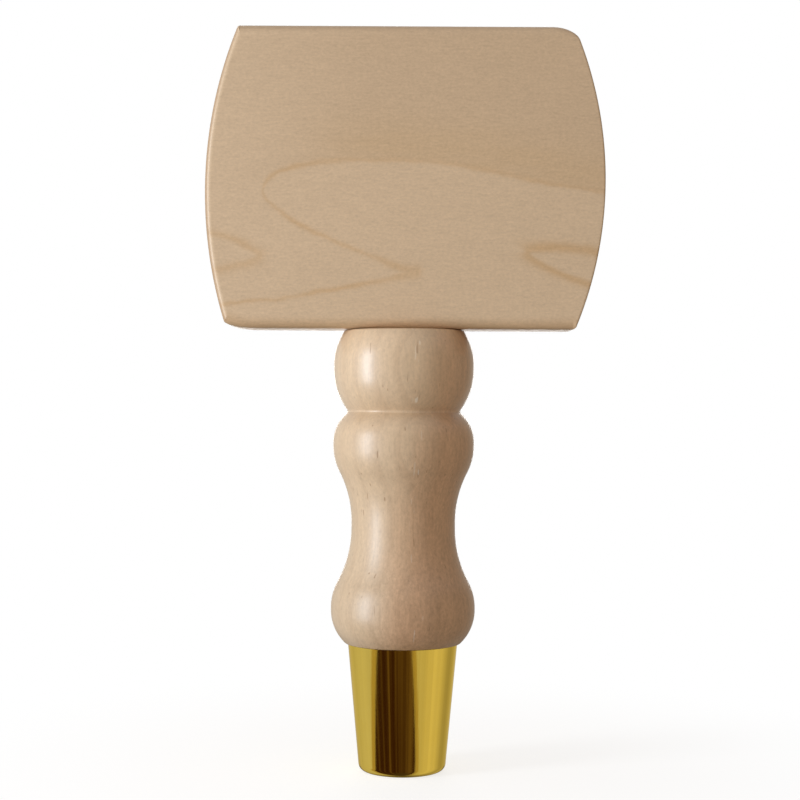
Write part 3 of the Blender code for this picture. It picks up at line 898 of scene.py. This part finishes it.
def vulcanised_fibre():
    """Dark red pressed fibre with a felted fleck."""
    material, graph = new_material("vulcanised_fibre")
    x, y, z = graph.position()
    felt = graph.noise(x / 0.35, y / 0.35, z / 0.35, 4.0, 0.7)
    patches = graph.noise(x / 4.0, y / 4.0, z / 4.0, 2.0)
    colour = graph.mix((felt * 0.8 + 0.5).clamped(), (0.22, 0.055, 0.035), (0.34, 0.10, 0.06))
    colour = graph.shade(colour, 1.0 + patches * 0.15)
    finish_material(graph, colour, 0.72 + felt * 0.1, graph.bump(felt, 0.03), {})
    return material


# Studio.

CAMERA_DISTANCE = 0.450
CAMERA_HEIGHT = 0.0955
CAMERA_SIDE = -0.0010
CAMERA_ROLL = math.radians(0.30)
VIEW_WIDTH = 0.20667
KEY_AZIMUTH = math.radians(-62)
KEY_DISTANCE = 0.65
KEY_HEIGHT = 0.125
KEY_SIZE = (0.17, 0.48)
KEY_POWER = 3.05
KEY_COLOUR = (0.95, 1.0, 1.08)
BACK_AZIMUTH = math.pi
BACK_DISTANCE = 0.9
BACK_HEIGHT = 0.25
BACK_SIZE = (0.5, 0.5)
BACK_POWER = 3.4
BACK_COLOUR = (1.0, 0.97, 0.93)
AIM_HEIGHT = 0.10
FLOOR_RADIUS = 1.6
FLOOR_CORNER = 0.6
WALL_HEIGHT = 2.4
WALL_STEPS = 24
PAPER_GREY = 0.40
PAPER_LIFT = 0.74
PAPER_FADE = (30.0, 160.0)

# What the ferrule reflects: azimuths in degrees of the brown edges of the dark room in front.
LEFT_BROWN = (-77.0, -62.0)
RIGHT_BROWN = (16.0, 25.0)
BROWN_BLUR = 4.0


def make_camera():
    """A camera at the middle of the object's height. VIEW_WIDTH is what it sees across at the axis."""
    data = bpy.data.cameras.new("camera")
    data.lens = data.sensor_width * CAMERA_DISTANCE / VIEW_WIDTH
    camera = bpy.data.objects.new("camera", data)
    place = Matrix.Translation((CAMERA_SIDE, -CAMERA_DISTANCE, CAMERA_HEIGHT))
    level = Matrix.Rotation(math.pi / 2, 4, "X")
    camera.matrix_world = place @ level @ Matrix.Rotation(CAMERA_ROLL, 4, "Z")
    bpy.context.scene.collection.objects.link(camera)
    bpy.context.scene.camera = camera


def area_light(name, turn, distance, height, size, power, colour):
    """A soft box that faces the object. Turn is in radians: 0 at the camera, positive to the right."""
    data = bpy.data.lights.new(name, "AREA")
    data.shape = "RECTANGLE"
    data.size, data.size_y = size
    data.energy = power
    data.color = colour
    light = bpy.data.objects.new(name, data)
    light.location = (distance * math.sin(turn), -distance * math.cos(turn), height)
    aim = Vector((0, 0, AIM_HEIGHT)) - light.location
    light.rotation_euler = aim.to_track_quat("-Z", "Y").to_euler()
    light.visible_camera = False
    bpy.context.scene.collection.objects.link(light)


def room_light(graph, x, y, z):
    """The soft light of the room: stronger and cooler on the left, and stronger in front."""

    def channel(base, side, front):
        return (base - x * side - y * front + z * 0.10).clamped(0.03, 2.0)

    return graph.combine(channel(0.31, 0.10, 0.22), channel(0.28, 0.13, 0.21), channel(0.25, 0.14, 0.19))


def pale_walls(graph, turn):
    """The colour of the walls by azimuth, warmer on the right."""
    glow = 0.62 + (turn - 80.0).bell(24.0) * 0.14 - (turn - 124.0).bell(18.0) * 0.20
    glow = glow + (turn + 100.0).bell(14.0) * 0.06
    glow = glow * (1.0 + graph.noise(turn / 9.0, 3.0, 0.0, 3.0, 0.6) * 0.22)
    warm = turn.step(0.0, 60.0) - turn.step(120.0, 180.0)
    return graph.combine(glow * 0.92, glow * (0.90 - warm * 0.06), glow * (0.84 - warm * 0.22))


def reflected_room(graph, x, y, z):
    """What reflections see: a dark room in front, pale walls beside it, and dark below and behind."""

    def past(degrees, start):
        return degrees.step(start, start + BROWN_BLUR)

    turn = azimuth(graph, x, y)
    # The dark room's sides lean: it is wider for reflections that look further down.
    lower = ((z + 0.325) / -0.057).clamped(-1.0, 1.4)
    left, right = turn + lower * 13.0 + 3.0, turn - lower * 10.0 - 4.0
    streaks = graph.noise(turn / 13.0, 0.0, 0.0, 2.0, 0.6)
    shapes = (streaks * 2.8 + right.step(-42.0, -4.0) * 0.55 + 0.06).clamped()
    dark = graph.mix(shapes, (0.036, 0.012, 0.004), (0.125, 0.074, 0.030))
    left_brown = past(left, LEFT_BROWN[0]) - past(left, LEFT_BROWN[1])
    right_brown = past(right, RIGHT_BROWN[0]) - past(right, RIGHT_BROWN[1])
    front = past(left, LEFT_BROWN[1]) - past(right, RIGHT_BROWN[0])
    colour = graph.mix((left_brown + right_brown).clamped(), pale_walls(graph, turn), (0.42, 0.33, 0.14))
    colour = graph.mix(front.clamped(), colour, dark)
    colour = graph.mix(z.step(0.25, 0.75), colour, (0.62, 0.62, 0.64))
    down = z * -1.0
    below = y.step(0.70, 0.95) * down.step(0.22, 0.32) + down.step(0.45, 0.75) * x.bell(0.35)
    return graph.mix(below.clamped() * 0.85, colour, (0.060, 0.040, 0.022))


def make_world():
    """White behind the object, a soft room for its lighting and another room for its reflections."""
    world = bpy.data.worlds.new("studio")
    bpy.context.scene.world = world
    graph = Graph(world)
    split = graph.node("SeparateXYZ")
    graph.feed(split.inputs[0], graph.node("TexCoord").outputs["Generated"])
    direction = [Value(graph, output) for output in split.outputs]
    rays = graph.node("LightPath")
    room = room_light(graph, *direction)
    colour = graph.mix(rays.outputs["Is Glossy Ray"], room, reflected_room(graph, *direction))
    colour = graph.mix(rays.outputs["Is Camera Ray"], colour, (1.0, 1.0, 1.0))
    background = graph.tree.nodes["Background"]
    graph.feed(background.inputs["Color"], colour)


def make_floor():
    """Pale floor that curves up into a surrounding wall."""
    flat = FLOOR_RADIUS - FLOOR_CORNER
    profile = [(0, 0), (0.25, 0), (0.6, 0)]
    profile += arc((flat, FLOOR_CORNER), FLOOR_CORNER, -math.pi / 2, 0, WALL_STEPS)
    profile.append((FLOOR_RADIUS, WALL_HEIGHT))
    bm = spun(profile, FLOOR_STEPS)
    bmesh.ops.recalc_face_normals(bm, faces=bm.faces)
    if bm.faces[0].normal.z < 0:
        bmesh.ops.reverse_faces(bm, faces=bm.faces)
    mesh = bpy.data.meshes.new("floor")
    bm.to_mesh(mesh)
    bm.free()
    mesh.shade_smooth()
    floor = bpy.data.objects.new("floor", mesh)
    bpy.context.scene.collection.objects.link(floor)
    mesh.materials.append(floor_material())
    for rays in ("visible_diffuse", "visible_glossy", "visible_transmission", "visible_shadow"):
        setattr(floor, rays, False)


def floor_material():
    """White paper: diffuse near the object, self-lit white further away, and clear from below."""
    material, graph = new_material("white_paper")
    graph.tree.nodes.remove(graph.tree.nodes["Principled BSDF"])

    def glow(strength):
        node = graph.node("Emission")
        node.inputs["Strength"].default_value = strength
        return node.outputs[0]

    def join(kind, *values):
        node = graph.node(kind)
        for socket, value in zip(node.inputs, values):
            graph.feed(socket, value)
        return node.outputs[0]

    x, y, z = graph.position()
    away = graph.math("SQRT", x * x + y * y + z * z)
    paper = graph.node("BsdfDiffuse")
    paper.inputs["Color"].default_value = (PAPER_GREY, PAPER_GREY, PAPER_GREY, 1.0)
    near = join("AddShader", paper.outputs[0], glow(PAPER_LIFT))
    above = join("MixShader", away.step(*PAPER_FADE), near, glow(1.0))
    backfacing = graph.node("NewGeometry").outputs["Backfacing"]
    clear = graph.node("BsdfTransparent").outputs[0]
    graph.feed(
        graph.tree.nodes["Material Output"].inputs["Surface"],
        join("MixShader", backfacing, above, clear),
    )
    return material


def dress(piece, material, body, node):
    """Gives a fine piece its material slot and body, and hides the CAD node that it replaces."""
    piece.data.materials.clear()
    piece.data.materials.append(material)
    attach(piece, body)
    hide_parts(node)


def main():
    bpy.context.scene.view_settings.view_transform = "Standard"
    make_camera()
    make_world()
    make_floor()
    area_light("key", KEY_AZIMUTH, KEY_DISTANCE, KEY_HEIGHT, KEY_SIZE, KEY_POWER, KEY_COLOUR)
    area_light("back", BACK_AZIMUTH, BACK_DISTANCE, BACK_HEIGHT, BACK_SIZE, BACK_POWER, BACK_COLOUR)
    dress(make_panel(), plank_maple(), "handle", "face_panel")
    dress(make_handle(), turned_maple(), "handle", "turned_handle")
    dress(make_bolt(), zinc_steel(), "handle", "hanger_bolt")
    dress(make_washer(), vulcanised_fibre(), "washer", "seat_washer")
    dress(make_ferrule(), polished_gold(), "ferrule", "ferrule_shell")
    dress(make_insert(), machined_brass(), "ferrule", "threaded_insert")
    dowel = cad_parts["panel_dowel"]
    dowel.data.materials.clear()
    dowel.data.materials.append(dowel_beech())


main()
